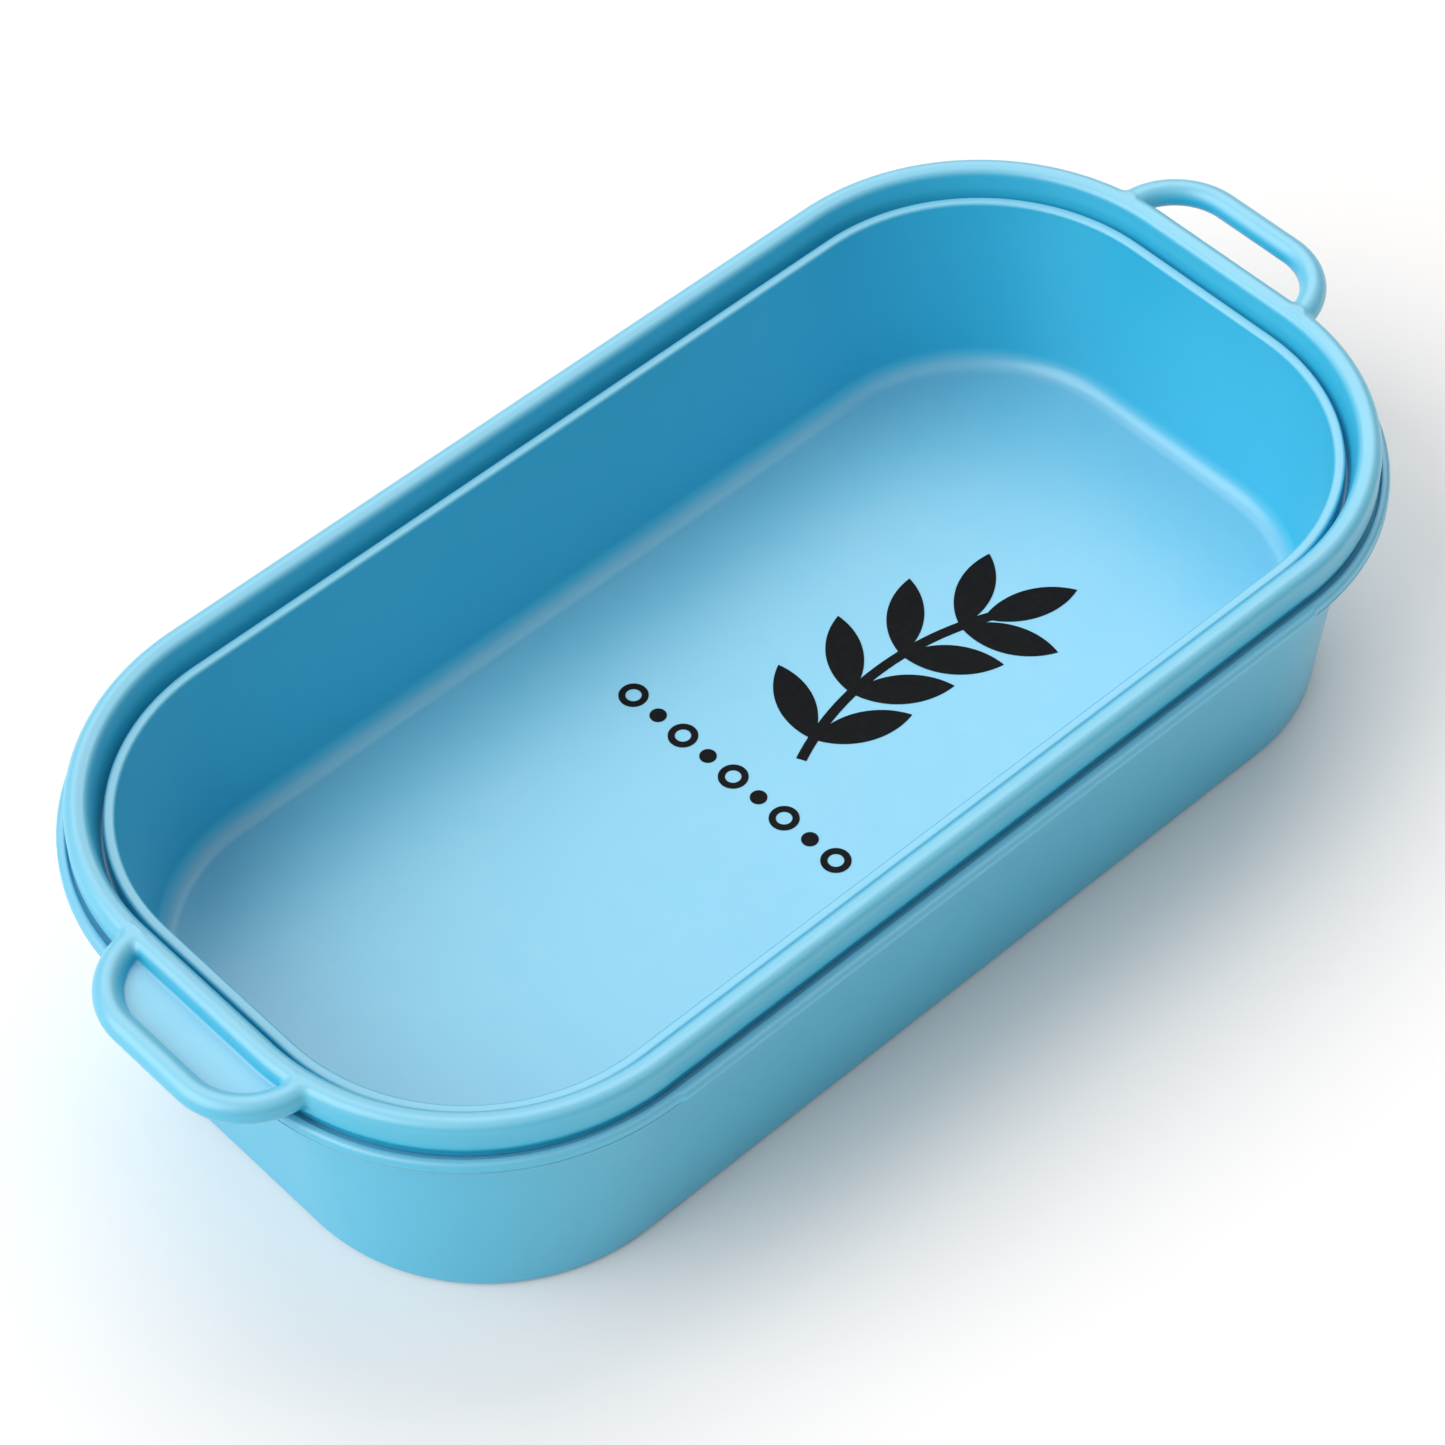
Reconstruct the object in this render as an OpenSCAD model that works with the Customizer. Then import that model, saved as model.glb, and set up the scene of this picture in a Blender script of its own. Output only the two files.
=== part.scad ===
// Silicone soap mould: a deep tub with a rounded-rectangle plan and a lift-off carrying ring.
// +X runs along the length, +Z is up, the origin is the middle of the footprint on the ground.
// Every ring-shaped face is swept round one rounded-rectangle core, so "reach" below means the
// horizontal distance outwards from that core rectangle.

/* [Core rectangle] */
// Half length of the core rectangle that carries the corner centres
core_x = 76.2; // [50:0.1:110]
// Half width of the core rectangle
core_y = 16.8; // [8:0.1:40]

/* [Tub] */
// Height of the inner lip above the ground
lip_z = 52.5; // [40:0.5:80]
// Thickness of the inner lip
lip_t = 2.1; // [1.2:0.1:4]
// Reach of the inner wall face at the lip
inner_reach = 39.2; // [30:0.1:50]
// Reach of the inner wall face where it meets the floor
inner_foot_reach = 36.9; // [28:0.1:48]
// Reach of the outer wall face at the ground
foot_reach = 39.6; // [30:0.1:50]
// Reach of the outer wall face just under the flange
wall_top_reach = 43.9; // [34:0.1:54]
// Height of the soap floor above the ground
floor_z = 13; // [4:0.5:20]
// Thickness of the floor sheet
floor_t = 3; // [2:0.5:6]
// Radius of the fillet between floor and inner wall
floor_fillet = 4; // [2:0.5:12]
// Thickness of the skirt the tub stands on
skirt_t = 3.4; // [2:0.1:5]
// Radius of the rounded bottom edge
foot_round = 1.6; // [0.5:0.1:3]

/* [Flange] */
// Height of the top of the flange curb
flange_top_z = 49.7; // [40:0.1:70]
// Height of the underside of the flange
flange_under_z = 46.9; // [36:0.1:66]
// Reach of the flange at the corners and ends
flange_reach = 49.6; // [44:0.1:60]
// Extra width of the lands along the long sides
land_extra = 0.6; // [0:0.1:5]
// Thickness of the lands
land_t = 1.9; // [1:0.1:4]
// Height of the channel floor that the ring rests on
seat_z = 48.4; // [40:0.1:68]
// Rounding of the flange edges
flange_round = 0.9; // [0.3:0.1:2]

/* [Ring] */
// Radius of the rounding between the crown and the outer face of the ring
crown_r = 2; // [1:0.1:4]
// Reach of the centre of that rounding
crown_reach = 45.6; // [40:0.1:56]
// Height of the centre of that rounding
crown_z = 55.2; // [44:0.1:80]
// Radius of the rounding between the crown and the inner face
edge_r = 0.6; // [0.3:0.1:2]
// Reach of the centre of the inner rounding
edge_reach = 43.9; // [40:0.1:56]
// Height of the centre of the inner rounding
edge_z = 56.2; // [44:0.1:80]
// Reach of the centre line that the hoop and the loops start from
ring_reach = 45.3; // [40:0.1:56]
// Reach of the leaning inner face at the foot of the ring
neck_in_reach = 41.9; // [40:0.1:50]
// Reach of the outer face at the foot of the ring
neck_out_reach = 46.9; // [42:0.1:54]
// Play between the foot of the ring and the flange curb
curb_play = 1; // [0.3:0.1:2]

/* [Handles] */
// Radius of the handle loop section
loop_r = 2.5; // [2:0.1:5]
// Height of the centre line of the loops and of all the steel
loop_z = 54.6; // [44:0.1:80]
// Distance of the loop bar beyond the ring centre line, and radius of its two bends
loop_out = 13; // [8:0.1:30]
// Half length of the straight bar of the loop
loop_half = 8.2; // [4:0.1:25]
// Sideways offset of the right loop, towards +Y
right_shift = 2.6; // [0:0.1:8]
// Sideways offset of the left loop, towards -Y
left_shift = 5; // [0:0.1:8]
// Thickness of the web that closes the left loop
web_t = 1.2; // [0.8:0.1:3]

/* [Steel stiffeners] */
// Radius of the steel hoop inside the ring
hoop_r = 1.3; // [0.8:0.1:2]
// Radius of the steel bows inside the handle loops
bow_r = 1.1; // [0.6:0.1:2]
// Clearance between steel and the rubber moulded round it
steel_gap = 0.05; // [0.02:0.01:0.3]

/* [Floor print] */
// Middle of the print along the length
print_x = 33; // [-60:1:60]
// Middle of the print across the width
print_y = -1; // [-30:1:30]
// Thickness of the printed ink film
ink_t = 0.12; // [0.08:0.02:0.4]
// Width of the printed stem
stem_w = 2; // [0.6:0.1:4]
// Length of a printed leaf
leaf_l = 19; // [8:0.5:30]
// Width of a printed leaf
leaf_w = 7; // [3:0.5:14]

/* [Hidden] */
$fn = 96;
arc_steps = 6;                              // chords in one small fillet of a profile
rest_gap = 0.05;                            // air under the ring where it rests in its channel
overhang = 0.6;                             // air between the ring and the flange top
lip_reach = inner_reach + lip_t;            // outer face of the lip
lip_round = lip_t * 0.3;
curb_in = neck_out_reach + curb_play;       // outer side of the channel
cavity_z = floor_z - floor_t;               // ceiling of the hollow under the floor
ring_x = core_x + ring_reach;               // ring centre line at the two ends
loop_x = ring_x + loop_out;                 // centre line of the loop bar
bow_trim = asin((hoop_r + bow_r + 0.6) / loop_out); // the bows end just clear of the hoop
steel_end = steel_gap / loop_out * 180 / PI; // the same clearance as an angle of the bend
stem_r = 60;                                // radius of the bowed printed stem
stem_sweep = 50;                            // sweep of the stem
leaf_pairs = 4;
tip_lap = 3;                                // turn by which the end leaf overlaps the stem
leaf_turn = 46;                             // angle between a leaf and the stem
bubble_count = 9;
bubble_step = 6.7;
bubble_drop = 37;                           // distance of the bubble row below the sprig's middle
big_bubble = [2.8, 1.5];                    // outer and inner radius of a ring-shaped bubble
small_bubble = 1.6;                         // radius of a dot between two of them
silicone = [0.63, 0.86, 0.94];
steel = [0.75, 0.76, 0.78];
ink = [0.03, 0.03, 0.035];

// Points of an arc about [reach, height] c, from angle a0 to a1.
function arc(c, r, a0, a1) =
    [for (i = [0 : arc_steps]) let (a = a0 + (a1 - a0) * i / arc_steps) c + r * [cos(a), sin(a)]];

// Reach of the outer wall face at height z.
function wall_reach(z) = foot_reach + (wall_top_reach - foot_reach) * z / flange_under_z;

// Two opposite straight runs of a profile drawn with x as reach and y as height. The runs
// start at distance "side" from the middle and reach "half" either way along it.
module straight_pair(side, half, turn) {
    for (s = [0, 180])
        rotate([0, 0, turn + s]) translate([side, half, 0]) rotate([90, 0, 0])
            linear_extrude(height = 2 * half) children();
}

// Sweeps a profile round the core rectangle: four quarter turns and four straight runs.
module sweep_round() {
    for (sx = [0, 1], sy = [0, 1])
        mirror([sx, 0, 0]) mirror([0, sy, 0])
            translate([core_x, core_y, 0]) rotate_extrude(angle = 90) children();
    straight_pair(core_x, core_y, 0) children();
    straight_pair(core_y, core_x, 90) children();
}

// Half section of the tub: lip, channel, flange curb, wall and skirt, with the floor
// running in to reach 0.
module tub_profile() {
    polygon(concat(
        [[0, floor_z]],
        arc([inner_foot_reach - floor_fillet, floor_z + floor_fillet], floor_fillet, 270, 360),
        arc([inner_reach + lip_round, lip_z - lip_round], lip_round, 180, 90),
        arc([lip_reach - lip_round, lip_z - lip_round], lip_round, 90, 0),
        [[lip_reach, seat_z], [curb_in, seat_z], [curb_in, flange_top_z]],
        arc([flange_reach - flange_round, flange_top_z - flange_round], flange_round, 90, 0),
        arc([flange_reach - flange_round, flange_under_z + flange_round], flange_round, 0, -90),
        [[wall_reach(flange_under_z), flange_under_z]],
        arc([wall_reach(foot_round) - foot_round, foot_round], foot_round, 0, -90),
        [[foot_reach - skirt_t, 0], [foot_reach - skirt_t, cavity_z], [0, cavity_z]]));
}

// Section of the strip that widens the flange along a long side.
module land_profile() {
    outer = flange_reach + land_extra - flange_round;
    inner = flange_reach - 1.5 * flange_round;
    polygon(concat(
        [[inner, flange_top_z]],
        arc([outer, flange_top_z - flange_round], flange_round, 90, 0),
        arc([outer, flange_top_z - land_t + flange_round], flange_round, 0, -90),
        [[inner, flange_top_z - land_t]]));
}

module tub() {
    color(silicone) union() {
        sweep_round() tub_profile();
        straight_pair(core_y, core_x, 90) land_profile();
        translate([-core_x, -core_y, cavity_z]) cube([2 * core_x, 2 * core_y, floor_t]);
    }
}

// Angle of the normal to the line that touches circle a and then circle b on its left side.
function touch(a, ra, b, rb) = let (d = b - a) atan2(d[1], d[0]) + acos((ra - rb) / norm(d));
function around(c, r, angle) = c + r * [cos(angle), sin(angle)];

// Section of the ring: a gently crowned top between two roundings, a leaning inner face, a
// straight outer face, and a narrower foot that stands in the channel.
module ring_profile() {
    foot = [neck_in_reach, seat_z + rest_gap];
    edge = [edge_reach, edge_z];
    crown = [crown_reach, crown_z];
    face_reach = crown_reach + crown_r;
    step_z = flange_top_z + overhang;
    inner_normal = touch(foot, 0, edge, edge_r);
    top_normal = touch(edge, edge_r, crown, crown_r);
    translate(edge) circle(r = edge_r);
    translate(crown) circle(r = crown_r);
    polygon([foot, [neck_out_reach, foot[1]], [neck_out_reach, step_z],
             [face_reach, step_z + face_reach - neck_out_reach], [face_reach, crown_z], crown,
             around(crown, crown_r, top_normal), around(edge, edge_r, top_normal), edge,
             around(edge, edge_r, inner_normal)]);
}

// Round bar of radius r along the centre line of a handle loop on the +X side. Each bend
// starts at the ring centre line, or "trim" degrees later.
module loop_bar(r, trim = 0) {
    translate([loop_x, loop_half, loop_z]) rotate([90, 0, 0]) cylinder(r = r, h = 2 * loop_half);
    for (s = [0, 1]) mirror([0, s, 0]) translate([ring_x, loop_half, loop_z])
        rotate_extrude(angle = 90 - trim) translate([loop_out, 0]) circle(r = r);
}

// Flat sheet that closes a loop just below its middle.
module loop_web() {
    translate([ring_x, 0, loop_z - 0.8 * loop_r]) linear_extrude(height = web_t) intersection() {
        translate([0, -loop_half - loop_out]) square([loop_out, 2 * (loop_half + loop_out)]);
        union() {
            translate([0, -loop_half]) square([loop_out, 2 * loop_half]);
            for (s = [-1, 1]) translate([0, s * loop_half]) circle(r = loop_out);
        }
    }
}

module at_right() { translate([0, right_shift, 0]) children(); }
module at_left() { translate([0, -left_shift, 0]) mirror([1, 0, 0]) children(); }

module rim_ring() {
    color(silicone) difference() {
        union() {
            sweep_round() ring_profile();
            at_right() loop_bar(loop_r);
            at_left() loop_bar(loop_r);
            at_left() loop_web();
        }
        sweep_round() translate([ring_reach, loop_z]) circle(r = hoop_r + steel_gap);
        at_right() loop_bar(bow_r + steel_gap, bow_trim - steel_end);
        at_left() loop_bar(bow_r + steel_gap, bow_trim - steel_end);
    }
}

module rim_hoop() {
    color(steel) sweep_round() translate([ring_reach, loop_z]) circle(r = hoop_r);
}

module bow_right() { color(steel) at_right() loop_bar(bow_r, bow_trim); }
module bow_left() { color(steel) at_left() loop_bar(bow_r, bow_trim); }

// Leaf film: the overlap of two equal discs, tip at the origin, pointing along +X.
module leaf() {
    r = (pow(leaf_l / 2, 2) + pow(leaf_w / 2, 2)) / leaf_w;
    linear_extrude(height = ink_t) translate([leaf_l / 2, 0]) intersection() {
        translate([0, r - leaf_w / 2]) circle(r = r);
        translate([0, leaf_w / 2 - r]) circle(r = r);
    }
}

// Printed sprig with pairs of leaves along a bowed stem, growing towards +X.
module sprig() {
    translate([0, -stem_r, 0]) {
        rotate([0, 0, 90 - stem_sweep / 2]) rotate_extrude(angle = stem_sweep)
            translate([stem_r - stem_w / 2, 0]) square([stem_w, ink_t]);
        for (i = [0 : leaf_pairs - 1], side = [-1, 1])
            rotate([0, 0, 90 + stem_sweep * (0.4 - i / leaf_pairs)]) translate([stem_r, 0, 0])
                rotate([0, 0, side * leaf_turn - 90]) leaf();
        rotate([0, 0, 90 - stem_sweep / 2 + tip_lap]) translate([stem_r, 0, 0])
            rotate([0, 0, -90]) leaf();
    }
}

// Row of rings and dots across the width, like soap bubbles.
module bubbles() {
    for (i = [0 : bubble_count - 1])
        translate([-bubble_drop, (i - (bubble_count - 1) / 2) * bubble_step, 0])
            linear_extrude(height = ink_t) difference() {
                circle(r = i % 2 == 0 ? big_bubble[0] : small_bubble);
                if (i % 2 == 0) circle(r = big_bubble[1]);
            }
}

module floor_print() {
    color(ink) translate([print_x, print_y, floor_z]) {
        sprig();
        bubbles();
    }
}

tub();
rim_ring();
rim_hoop();
bow_left();
bow_right();
floor_print();
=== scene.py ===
"""Looks of the silicone soap mould: smooth silicone skins over the CAD frame, and a pale studio."""
import math

import bmesh
import bpy
import numpy as np
from mathutils import Matrix, Vector


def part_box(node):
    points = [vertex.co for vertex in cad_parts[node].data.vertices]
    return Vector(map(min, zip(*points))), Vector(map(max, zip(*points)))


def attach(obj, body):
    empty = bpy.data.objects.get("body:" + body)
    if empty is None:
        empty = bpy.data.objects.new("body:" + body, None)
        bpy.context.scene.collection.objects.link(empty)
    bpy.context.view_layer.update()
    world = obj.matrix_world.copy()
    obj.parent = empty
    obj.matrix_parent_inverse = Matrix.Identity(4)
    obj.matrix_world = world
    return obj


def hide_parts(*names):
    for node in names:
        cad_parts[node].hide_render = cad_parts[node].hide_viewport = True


MM = 0.001
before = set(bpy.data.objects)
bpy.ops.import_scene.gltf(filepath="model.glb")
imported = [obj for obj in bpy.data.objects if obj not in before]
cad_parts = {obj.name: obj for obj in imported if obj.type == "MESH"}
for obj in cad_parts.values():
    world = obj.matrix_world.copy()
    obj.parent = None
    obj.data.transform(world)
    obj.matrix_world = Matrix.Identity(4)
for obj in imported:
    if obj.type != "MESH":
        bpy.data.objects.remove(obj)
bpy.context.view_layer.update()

# ---------------------------------------------------------------- sizes, in millimetres
# Horizontal sizes round the rim are "reaches": distances outwards from the rounded rectangle's
# core, the rectangle that joins its four corner centres.


def cad_box(node):
    """Lowest and highest corner of a CAD node in millimetres."""
    return [np.array(corner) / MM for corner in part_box(node)]


tub_lo, tub_hi = cad_box("tub")
ring_lo, ring_hi = cad_box("rim_ring")
hoop_lo, hoop_hi = cad_box("rim_hoop")
right_lo, right_hi = cad_box("bow_right")
left_lo, left_hi = cad_box("bow_left")
print_lo, print_hi = cad_box("floor_print")

HOOP_R = (hoop_hi[2] - hoop_lo[2]) / 2
BOW_R = (right_hi[2] - right_lo[2]) / 2
RING_X, RING_Y = hoop_hi[0] - HOOP_R, hoop_hi[1] - HOOP_R
RING_REACH = 45.3
CORE = np.array([RING_X - RING_REACH, RING_Y - RING_REACH])
CROWN_R, CROWN_REACH, CROWN_Z = 2.0, 45.6, ring_hi[2] - 2.0
# The inner edge of the bead is rounder than the CAD's 0.6 mm, between the same two faces, so it
# lies up to 0.15 mm inside the CAD solid.
EDGE_R, EDGE_REACH, EDGE_Z = 1.4, 44.6, CROWN_Z + 0.36
NECK_IN, NECK_OUT, NECK_Z = 41.9, 46.9, ring_lo[2]
LOOP_X = right_hi[0] - BOW_R
LOOP_Z = (hoop_lo[2] + hoop_hi[2]) / 2
LOOP_R = ring_hi[0] - LOOP_X
LOOP_OUT = LOOP_X - RING_X
LOOP_MIDDLE = {1: (right_lo[1] + right_hi[1]) / 2, -1: (left_lo[1] + left_hi[1]) / 2}
LOOP_HALF = 8.2
WEB_LOW, WEB_T = 0.8 * LOOP_R, 1.2

LIP_Z = tub_hi[2]
FLANGE_REACH, FLANGE_TOP, FLANGE_UNDER, FLANGE_ROUND = tub_hi[0] - CORE[0], 49.7, 46.9, 0.9
LAND_EXTRA, LAND_T, LAND_RAMP = tub_hi[1] - CORE[1] - FLANGE_REACH, 1.9, 1.5
INNER_REACH, LIP_T = 39.2, 2.1
FLOOR_Z, FLOOR_T, FLOOR_FILLET, INNER_FOOT = print_lo[2], 3.0, 4.0, 36.9
FOOT_REACH, WALL_TOP_REACH, FOOT_ROUND, SKIRT_T = 39.6, 43.9, 1.6, 3.4
SEAT_Z, CURB_IN = 48.4, NECK_OUT + 1.0
STEP_Z = FLANGE_TOP + 0.6

# Roundings of the tub skin, and fillet sizes where pieces of the ring skin meet
LIP_ROUND, UNDER_ROUND, SKIRT_ROUND, ROOF_ROUND = 0.3 * LIP_T, 1.2, 0.4, 1.5
CHANNEL_IN_ROUND, CHANNEL_OUT_ROUND, CURB_ROUND = 0.5, 0.3, 0.4
LAND_ROUND, LAND_GROOVE, FLANGE_LOW_ROUND = 0.5, 0.15, 0.8
STEP_BLEND, FOOT_BLEND, SEAM_BLEND, LOOP_BLEND, WEB_BLEND = 1.6, 0.7, 0.3, 0.9, 0.7
RING_STEP, RING_STEP_QUICK = 0.45, 0.8

# ---------------------------------------------------------------- meshes


def new_mesh(name, verts_mm, faces):
    """A smooth shaded mesh object from vertices in millimetres and faces."""
    mesh = bpy.data.meshes.new(name)
    mesh.from_pydata((np.asarray(verts_mm) * MM).tolist(), [], [list(map(int, f)) for f in faces])
    mesh.update()
    mesh.shade_smooth()
    obj = bpy.data.objects.new(name, mesh)
    bpy.context.scene.collection.objects.link(obj)
    return obj


def arc(centre, radius, start, end, steps=8):
    """Points [reach, height] of an arc, angles in degrees."""
    angles = np.radians(np.linspace(start, end, steps + 1))
    return [(centre[0] + radius * math.cos(a), centre[1] + radius * math.sin(a)) for a in angles]


def densify(points, step):
    """Adds points so that no side of the profile is longer than step."""
    out = []
    for p, q in zip(points[:-1], points[1:]):
        n = max(1, math.ceil(math.dist(p, q) / step))
        out += [tuple(np.array(p) + (np.array(q) - p) * i / n) for i in range(n)]
    return out + [points[-1]]


def core_path(corner_steps=28, run_step=4.0):
    """Stations round the core: (centre x, centre y, outward angle), anticlockwise from +X."""
    stations = []
    signs = [(1, 1), (-1, 1), (-1, -1), (1, -1)]
    for k, (sx, sy) in enumerate(signs):
        cx, cy = sx * CORE[0], sy * CORE[1]
        for i in range(corner_steps + 1):
            stations.append((cx, cy, math.radians(90 * (k + i / corner_steps))))
        nx, ny = signs[(k + 1) % 4][0] * CORE[0], signs[(k + 1) % 4][1] * CORE[1]
        runs = max(1, math.ceil(math.dist((cx, cy), (nx, ny)) / run_step))
        for i in range(1, runs):
            t = i / runs
            stations.append((cx + (nx - cx) * t, cy + (ny - cy) * t, math.radians(90 * (k + 1))))
    return stations


def sweep(profile_at, stations):
    """Vertices and faces of an open profile, profile_at(station) -> [(reach, height)], swept
    round the core."""
    rows = []
    for station in stations:
        cx, cy, angle = station
        rows.append([(cx + r * math.cos(angle), cy + r * math.sin(angle), z)
                     for r, z in profile_at(station)])
    n, m = len(rows), len(rows[0])
    verts = np.array(rows).reshape(-1, 3)
    faces = [(i * m + j, (i + 1) % n * m + j, (i + 1) % n * m + j + 1, i * m + j + 1)
             for i in range(n) for j in range(m - 1)]
    return verts, faces


def tub_stations():
    """Stations with extra ones close to both ends of each land, where the flange widens."""
    out = list(core_path())
    near = [CORE[0] - d for d in (0.3, 0.6, 0.9, 1.2, LAND_RAMP, 1.9)]
    for side in (1, -1):
        angle = math.radians(90 if side > 0 else 270)
        out += [(sx * x, side * CORE[1], angle) for x in near for sx in (1, -1)]
    return sorted(set(out), key=place_round_core)


def place_round_core(station):
    """Sorting key of a station: its outward angle, then how far it is along a straight run."""
    cx, cy, angle = station
    degrees = round(math.degrees(angle), 6)
    turn = round(math.degrees(angle % (2 * math.pi)), 6)
    return (degrees, {90: -cx, 180: -cy, 270: cx, 0: cy}.get(turn, 0))


def land_share(station):
    """How far the flange has widened at a station: 0 at the corners and ends, 1 on a land."""
    cx, _, angle = station
    if abs(math.cos(angle)) > 1e-6:
        return 0.0
    t = min(max((CORE[0] - abs(cx)) / LAND_RAMP, 0), 1)
    return t * t * (3 - 2 * t)


def tub_profile(station):
    """Skin of the tub from the middle of the floor, over lip and flange, to the hollow below."""
    lip_out = INNER_REACH + LIP_T
    flange = FLANGE_REACH + LAND_EXTRA * land_share(station)
    wall_lean = (WALL_TOP_REACH - FOOT_REACH) / FLANGE_UNDER
    foot_out = FOOT_REACH + wall_lean * FOOT_ROUND
    inner = [(0, FLOOR_Z)] + arc((INNER_FOOT - FLOOR_FILLET, FLOOR_Z + FLOOR_FILLET),
                                 FLOOR_FILLET, -90, 0, 12)
    lip = (arc((INNER_REACH + LIP_ROUND, LIP_Z - LIP_ROUND), LIP_ROUND, 180, 90)
           + arc((lip_out - LIP_ROUND, LIP_Z - LIP_ROUND), LIP_ROUND, 90, 0))
    channel = (arc((lip_out + CHANNEL_IN_ROUND, SEAT_Z + CHANNEL_IN_ROUND),
                   CHANNEL_IN_ROUND, 180, 270, 4)
               + arc((CURB_IN - CHANNEL_OUT_ROUND, SEAT_Z + CHANNEL_OUT_ROUND),
                     CHANNEL_OUT_ROUND, 270, 360, 4)
               + arc((CURB_IN + CURB_ROUND, FLANGE_TOP - CURB_ROUND), CURB_ROUND, 180, 90, 4))
    land_low = FLANGE_TOP - LAND_T
    curb = (arc((flange - FLANGE_ROUND, FLANGE_TOP - FLANGE_ROUND), FLANGE_ROUND, 90, 0)
            + arc((flange - LAND_ROUND, land_low + LAND_ROUND), LAND_ROUND, 0, -40, 5)
            + [(FLANGE_REACH, land_low - LAND_GROOVE)]
            + arc((FLANGE_REACH - FLANGE_LOW_ROUND, FLANGE_UNDER + FLANGE_LOW_ROUND),
                  FLANGE_LOW_ROUND, 0, -90))
    under = arc((WALL_TOP_REACH + UNDER_ROUND, FLANGE_UNDER - UNDER_ROUND), UNDER_ROUND, 90, 180)
    foot = arc((foot_out - FOOT_ROUND, FOOT_ROUND), FOOT_ROUND, 0, -90)
    skirt_in = FOOT_REACH - SKIRT_T
    skirt = (arc((skirt_in + SKIRT_ROUND, SKIRT_ROUND), SKIRT_ROUND, 270, 180, 4)
             + arc((skirt_in - ROOF_ROUND, FLOOR_Z - FLOOR_T - ROOF_ROUND), ROOF_ROUND, 0, 90, 6)
             + [(0, FLOOR_Z - FLOOR_T)])
    return densify(inner + lip + channel + curb + under + foot + skirt, 3.0)


def build_tub():
    """The tub's skin, closed by one face on the floor and one on the roof of the hollow."""
    stations = tub_stations()
    verts, faces = sweep(tub_profile, stations)
    n, m = len(stations), len(verts) // len(stations)
    faces.append([i * m for i in range(n)])
    faces.append([i * m + m - 1 for i in reversed(range(n))])
    obj = new_mesh("tub_skin", verts, faces)
    tidy_mesh(obj)
    return obj


def tidy_mesh(obj):
    """Welds doubled points and turns the faces outwards."""
    bm = bmesh.new()
    bm.from_mesh(obj.data)
    bmesh.ops.remove_doubles(bm, verts=bm.verts, dist=0.01 * MM)
    bmesh.ops.recalc_face_normals(bm, faces=bm.faces)
    bm.to_mesh(obj.data)
    bm.free()
    obj.data.shade_smooth()


# ---------------------------------------------------------------- ring, as one implicit skin


def soft_min(a, b, blend):
    """Union of two distance fields with a fillet of about the given size."""
    h = np.maximum(blend - np.abs(a - b), 0) / blend
    return np.minimum(a, b) - h * h * blend / 4


def soft_max(a, b, blend):
    """Overlap of two distance fields with a rounded edge."""
    return -soft_min(-a, -b, blend)


def capsule(u, v, a, radius_a, b, radius_b):
    """Distance to the hull of two circles."""
    length = math.dist(a, b)
    du, dv = (b[0] - a[0]) / length, (b[1] - a[1]) / length
    along = (u - a[0]) * du + (v - a[1]) * dv
    across = np.abs((u - a[0]) * dv - (v - a[1]) * du)
    tilt = (radius_a - radius_b) / length
    side = math.sqrt(1 - tilt * tilt)
    k = along * side - across * tilt
    return np.where(k < 0, np.hypot(across, along) - radius_a,
                    np.where(k > side * length, np.hypot(across, along - length) - radius_b,
                             across * side + along * tilt - radius_a))


def beyond(u, v, point, angle):
    """Distance beyond the line through a point whose normal has this angle."""
    return (u - point[0]) * math.cos(angle) + (v - point[1]) * math.sin(angle)


def ring_section(reach, z):
    """Distance to the section of the ring: crowned top, leaning inner face, step and foot."""
    edge, crown = (EDGE_REACH, EDGE_Z), (CROWN_REACH, CROWN_Z)
    face = CROWN_REACH + CROWN_R
    rise = (EDGE_REACH - NECK_IN, EDGE_Z - NECK_Z)
    inner_angle = math.atan2(rise[1], rise[0]) + math.acos(-EDGE_R / math.hypot(*rise))
    inner_top = (edge[0] + EDGE_R * math.cos(inner_angle), edge[1] + EDGE_R * math.sin(inner_angle))
    lid_angle = math.atan2(CROWN_Z - inner_top[1], face - inner_top[0]) + math.pi / 2
    body = soft_max(reach - face, STEP_Z - z, STEP_BLEND)
    foot = soft_max(reach - NECK_OUT, NECK_Z - z, FOOT_BLEND)
    lower = soft_max(soft_min(body, foot, SEAM_BLEND),
                     beyond(reach, z, inner_top, inner_angle), FOOT_BLEND)
    lower = np.maximum(lower, beyond(reach, z, inner_top, lid_angle))
    return np.minimum(capsule(reach, z, edge, EDGE_R, crown, CROWN_R), lower)


def ring_field(x, y, z):
    """Signed distance, in millimetres, to the rim ring with its two loops and the left web."""
    reach = np.hypot(np.maximum(np.abs(x) - CORE[0], 0), np.maximum(np.abs(y) - CORE[1], 0))
    field = ring_section(reach, z)
    for side in (1, -1):
        out = side * x - RING_X
        along = np.maximum(np.abs(y - LOOP_MIDDLE[side]) - LOOP_HALF, 0)
        from_bar = np.hypot(out, along) - LOOP_OUT
        loop = np.maximum(np.hypot(from_bar, z - LOOP_Z) - LOOP_R, -out)
        field = soft_min(field, loop, LOOP_BLEND)
        if side < 0:
            web_mid = LOOP_Z - WEB_LOW + WEB_T / 2
            web = np.maximum(np.maximum(from_bar, np.abs(z - web_mid) - WEB_T / 2), -out)
            field = soft_min(field, web, WEB_BLEND)
    return np.maximum(field, z - (CROWN_Z + CROWN_R))


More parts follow.
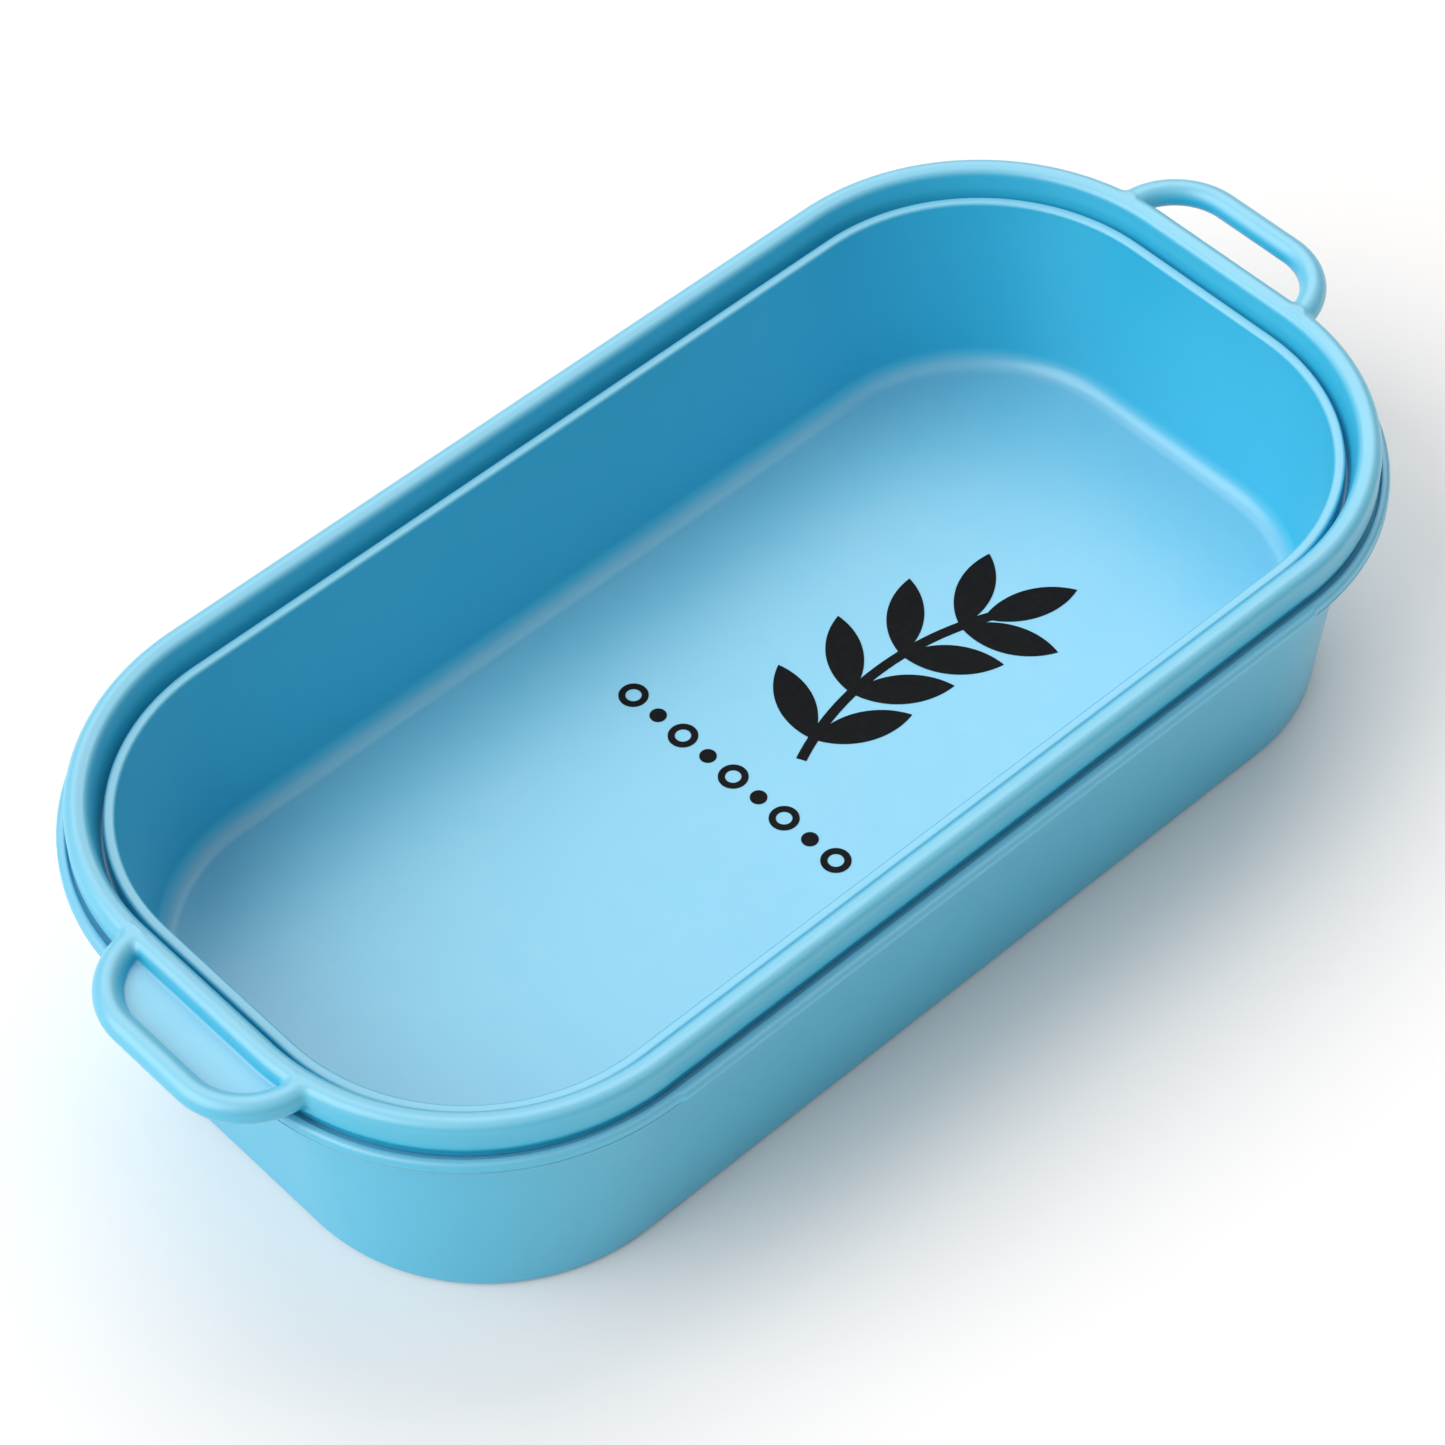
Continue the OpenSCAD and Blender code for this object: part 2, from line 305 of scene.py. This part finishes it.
def surface_net(field, lo, hi, step):
    """Closed quad mesh of field = 0: one vertex per crossed cell, pulled onto the surface."""
    axes = [np.arange(lo[i], hi[i] + step, step) for i in range(3)]
    inside = field(*np.meshgrid(*axes, indexing="ij", sparse=True)) < 0
    count = np.zeros([s - 1 for s in inside.shape], np.int8)
    for dx in (0, 1):
        for dy in (0, 1):
            for dz in (0, 1):
                count += inside[dx:dx + count.shape[0], dy:dy + count.shape[1],
                                dz:dz + count.shape[2]]
    crossed = (count > 0) & (count < 8)
    ids = np.full(count.shape, -1, np.int64)
    ids[crossed] = np.arange(np.count_nonzero(crossed))
    verts = np.array(lo) + (np.argwhere(crossed) + 0.5) * step
    for _ in range(6):
        value = field(*verts.T)
        grad = gradient(field, verts)
        verts -= (value / np.maximum((grad ** 2).sum(1), 0.25))[:, None] * grad
    faces = []
    for axis in range(3):
        a, b = [k for k in range(3) if k != axis]
        first = np.moveaxis(inside, (axis, a, b), (0, 1, 2))
        cell = np.moveaxis(ids, (axis, a, b), (0, 1, 2))
        change = first[:-1, 1:-1, 1:-1] != first[1:, 1:-1, 1:-1]
        i, j, k = np.nonzero(change)
        quad = np.stack([cell[i, j, k], cell[i, j + 1, k], cell[i, j + 1, k + 1],
                         cell[i, j, k + 1]], 1)
        flip = first[i, j + 1, k + 1] ^ (axis == 1)
        quad[~flip] = quad[~flip][:, ::-1]
        faces.append(quad)
    return verts, np.concatenate(faces)


def gradient(field, points):
    """Slope of a field at points, one row each."""
    return np.stack([field(*(points + d).T) - field(*(points - d).T)
                     for d in np.eye(3) * 1e-3], 1) / 2e-3


def build_ring():
    """The ring with shading normals taken from the field itself, so fine roundings stay clean."""
    margin = np.array([1.5, 1.5, 1.3])
    step = RING_STEP
    verts, faces = surface_net(ring_field, ring_lo - margin, ring_hi + margin, step)
    obj = new_mesh("ring_skin", verts, faces)
    normals = gradient(ring_field, verts)
    normals /= np.linalg.norm(normals, axis=1)[:, None]
    obj.data.normals_split_custom_set_from_vertices(normals.tolist())
    return obj


tub = build_tub()
ring = build_ring()
for piece, node, body, slot in ((tub, "tub", "tub", "silicone_tub"),
                                (ring, "rim_ring", "ring", "silicone_ring")):
    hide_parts(node)
    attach(piece, body)

# ---------------------------------------------------------------- materials

SILICONE_LIGHT, SILICONE_DEEP = (0.016, 0.500, 0.740, 1.0), (0.014, 0.478, 0.719, 1.0)
# Painted sheen: how much and toward which paler colour up-facing faces are tinted, in place of
# light they catch.
UPWARD_PAINTED_SHEEN, PAINTED_SHEEN_COLOUR = 0.3, (0.52, 0.64, 0.70, 1.0)


def linear(r, g, b):
    """Display colour, 0 to 255, as linear light."""
    def one(c):
        c /= 255
        return c / 12.92 if c <= 0.04045 else ((c + 0.055) / 1.055) ** 2.4
    return (one(r), one(g), one(b), 1.0)


class Nodes:
    """Short hand for building a node material."""

    def __init__(self, name):
        self.material = bpy.data.materials.new(name)
        self.material.use_nodes = True
        self.tree = self.material.node_tree
        self.shader = self.tree.nodes["Principled BSDF"]

    def add(self, kind, inputs=(), **settings):
        node = self.tree.nodes.new("ShaderNode" + kind)
        for key, value in settings.items():
            setattr(node, key, value)
        for key, value in dict(inputs).items():
            self.feed(node.inputs[key], value)
        return node

    def feed(self, socket, value):
        """Links a socket's value, or sets a constant on the input itself."""
        if isinstance(value, bpy.types.NodeSocket):
            self.tree.links.new(value, socket)
        else:
            socket.default_value = value

    def noise(self, coords, scale, detail=3.0, roughness=0.5):
        return self.add("TexNoise", {"Vector": coords, "Scale": scale, "Detail": detail,
                                     "Roughness": roughness}).outputs["Fac"]

    def spread(self, value, low, high):
        """Maps a noise value, mostly 0.3 to 0.7, to the range low to high."""
        return self.add("MapRange", {"Value": value, "From Min": 0.3, "From Max": 0.7,
                                     "To Min": low, "To Max": high}).outputs["Result"]

    def mix(self, factor, a, b):
        node = self.add("Mix", data_type="RGBA")
        self.feed(node.inputs["Factor"], factor)
        self.feed(node.inputs["A"], a)
        self.feed(node.inputs["B"], b)
        return node.outputs["Result"]

    def set(self, **values):
        for key, value in values.items():
            self.feed(self.shader.inputs[key.replace("_", " ")], value)


def silicone(name):
    """Satin moulded silicone: soft mottling, fine mould grain, and a paler tone painted on faces
    that look up, a painted sheen standing in for the light those faces catch. The bloom matches
    the picture; what causes it there isn't known."""
    m = Nodes(name)
    coords = m.add("TexCoord").outputs["Object"]
    broad = m.noise(coords, 22.0)
    grain = m.noise(coords, 2600.0, 2.0)
    ripple = m.noise(coords, 130.0, 2.0)
    rubber = m.mix(m.spread(broad, 0, 1), SILICONE_LIGHT, SILICONE_DEEP)
    facing = m.add("SeparateXYZ", {0: m.add("NewGeometry").outputs["Normal"]}).outputs["Z"]
    # Painted sheen: the paler colour is mixed in by how far a face looks up, not by any lamp.
    painted_sheen_amount = m.add("MapRange", {"Value": facing, "From Min": 0.1, "From Max": 0.95,
                                "To Min": 0.0, "To Max": UPWARD_PAINTED_SHEEN}).outputs["Result"]
    patchy_painted_sheen = m.add("Math", {0: painted_sheen_amount, 1: m.spread(ripple, 0.9, 1.0)}, operation="MULTIPLY")
    m.set(Base_Color=m.mix(patchy_painted_sheen.outputs[0], rubber, PAINTED_SHEEN_COLOUR),
          Roughness=m.spread(m.noise(coords, 60.0), 0.5, 0.58))
    height = m.add("Math", {0: m.add("Math", {0: grain, 1: 0.35}, operation="MULTIPLY")
                            .outputs[0], 1: ripple}, operation="ADD").outputs[0]
    bump = m.add("Bump", {"Strength": 0.12, "Distance": 0.00012, "Height": height})
    m.set(Normal=bump.outputs["Normal"])
    m.set(IOR=1.45, Specular_IOR_Level=0.5, Coat_Weight=1.0, Coat_Roughness=0.36, Coat_IOR=1.7)
    return m.material


def ink():
    """Matt printed ink, slightly uneven."""
    m = Nodes("black_ink")
    coords = m.add("TexCoord").outputs["Object"]
    m.set(Base_Color=m.mix(m.spread(m.noise(coords, 400.0), 0, 1),
                           (0.0015, 0.0015, 0.002, 1), (0.003, 0.003, 0.0035, 1)),
          Roughness=m.spread(m.noise(coords, 900.0), 0.55, 0.66), Specular_IOR_Level=0.12)
    return m.material


def wire():
    """Drawn stainless wire."""
    m = Nodes("wire_steel")
    coords = m.add("TexCoord").outputs["Object"]
    m.set(Base_Color=m.mix(m.spread(m.noise(coords, 300.0), 0, 1),
                           linear(196, 198, 202), linear(182, 184, 188)),
          Roughness=m.spread(m.noise(coords, 1500.0), 0.24, 0.36), Metallic=1.0)
    return m.material


def paint(obj, material):
    obj.data.materials.clear()
    obj.data.materials.append(material)


paint(tub, silicone("silicone_tub"))
paint(ring, silicone("silicone_ring"))
paint(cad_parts["floor_print"], ink())
steel = wire()
for node in ("rim_hoop", "bow_left", "bow_right"):
    paint(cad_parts[node], steel)

# ---------------------------------------------------------------- studio


def studio_floor():
    """Pale matt paper under the mould."""
    bpy.ops.mesh.primitive_plane_add(size=8)
    floor = bpy.context.object
    floor.name = "studio_floor"
    m = Nodes("studio_paper")
    coords = m.add("TexCoord").outputs["Object"]
    m.set(Base_Color=m.mix(m.spread(m.noise(coords, 3.0), 0, 1),
                           (0.93, 0.90, 0.885, 1), (0.935, 0.905, 0.89, 1)),
          Roughness=0.9, Specular_IOR_Level=0.1)
    paint(floor, m.material)


def looking_along(direction, roll=0.0):
    """Rotation that points -Z along direction, with +Y up, then rolls about that line."""
    turn = Vector(direction).to_track_quat("-Z", "Y").to_matrix().to_4x4()
    return turn @ Matrix.Rotation(roll, 4, "Z")


def direction_from(azimuth, elevation):
    """Unit vector towards a place at this azimuth (0 is -Y, 90 is +X) and elevation."""
    az, el = math.radians(azimuth), math.radians(elevation)
    return Vector((math.sin(az) * math.cos(el), -math.cos(az) * math.cos(el), math.sin(el)))


CAMERA_LENS, CAMERA_ROLL, CAMERA_AWAY = 116.8, -1.63, 0.835
CAMERA_AZIMUTH, CAMERA_ELEVATION = -41.7, 49.85
CAMERA_TARGET = Vector((-5.5, -0.2, 28.75)) * MM


def add_camera():
    """The camera at the photograph's viewing angle."""
    data = bpy.data.cameras.new("camera")
    data.sensor_width = 36
    data.lens = CAMERA_LENS
    camera = bpy.data.objects.new("camera", data)
    bpy.context.scene.collection.objects.link(camera)
    away = direction_from(CAMERA_AZIMUTH, CAMERA_ELEVATION)
    camera.matrix_world = Matrix.Translation(CAMERA_TARGET + away * CAMERA_AWAY) @ looking_along(
        -away, math.radians(CAMERA_ROLL))
    bpy.context.scene.camera = camera


def add_sun(name, azimuth, elevation, strength, spread):
    """A sun lamp from this azimuth and elevation; spread, in degrees, is how soft it is."""
    data = bpy.data.lights.new(name, "SUN")
    data.energy = strength
    data.angle = math.radians(spread)
    light = bpy.data.objects.new(name, data)
    bpy.context.scene.collection.objects.link(light)
    light.matrix_world = looking_along(-direction_from(azimuth, elevation))


def add_sky(strength):
    """An even white sky."""
    world = bpy.data.worlds.new("studio")
    world.use_nodes = True
    world.node_tree.nodes["Background"].inputs["Color"].default_value = (1, 1, 1, 1)
    world.node_tree.nodes["Background"].inputs["Strength"].default_value = strength
    bpy.context.scene.world = world


studio_floor()
add_camera()
add_sky(0.24)
add_sun("key", -108, 38, 2.1, 60)
add_sun("gloss", 142, 52, 1.1, 56)
add_sun("top", 0, 89.9, 0.75, 110)
bpy.context.scene.view_settings.view_transform = "Standard"
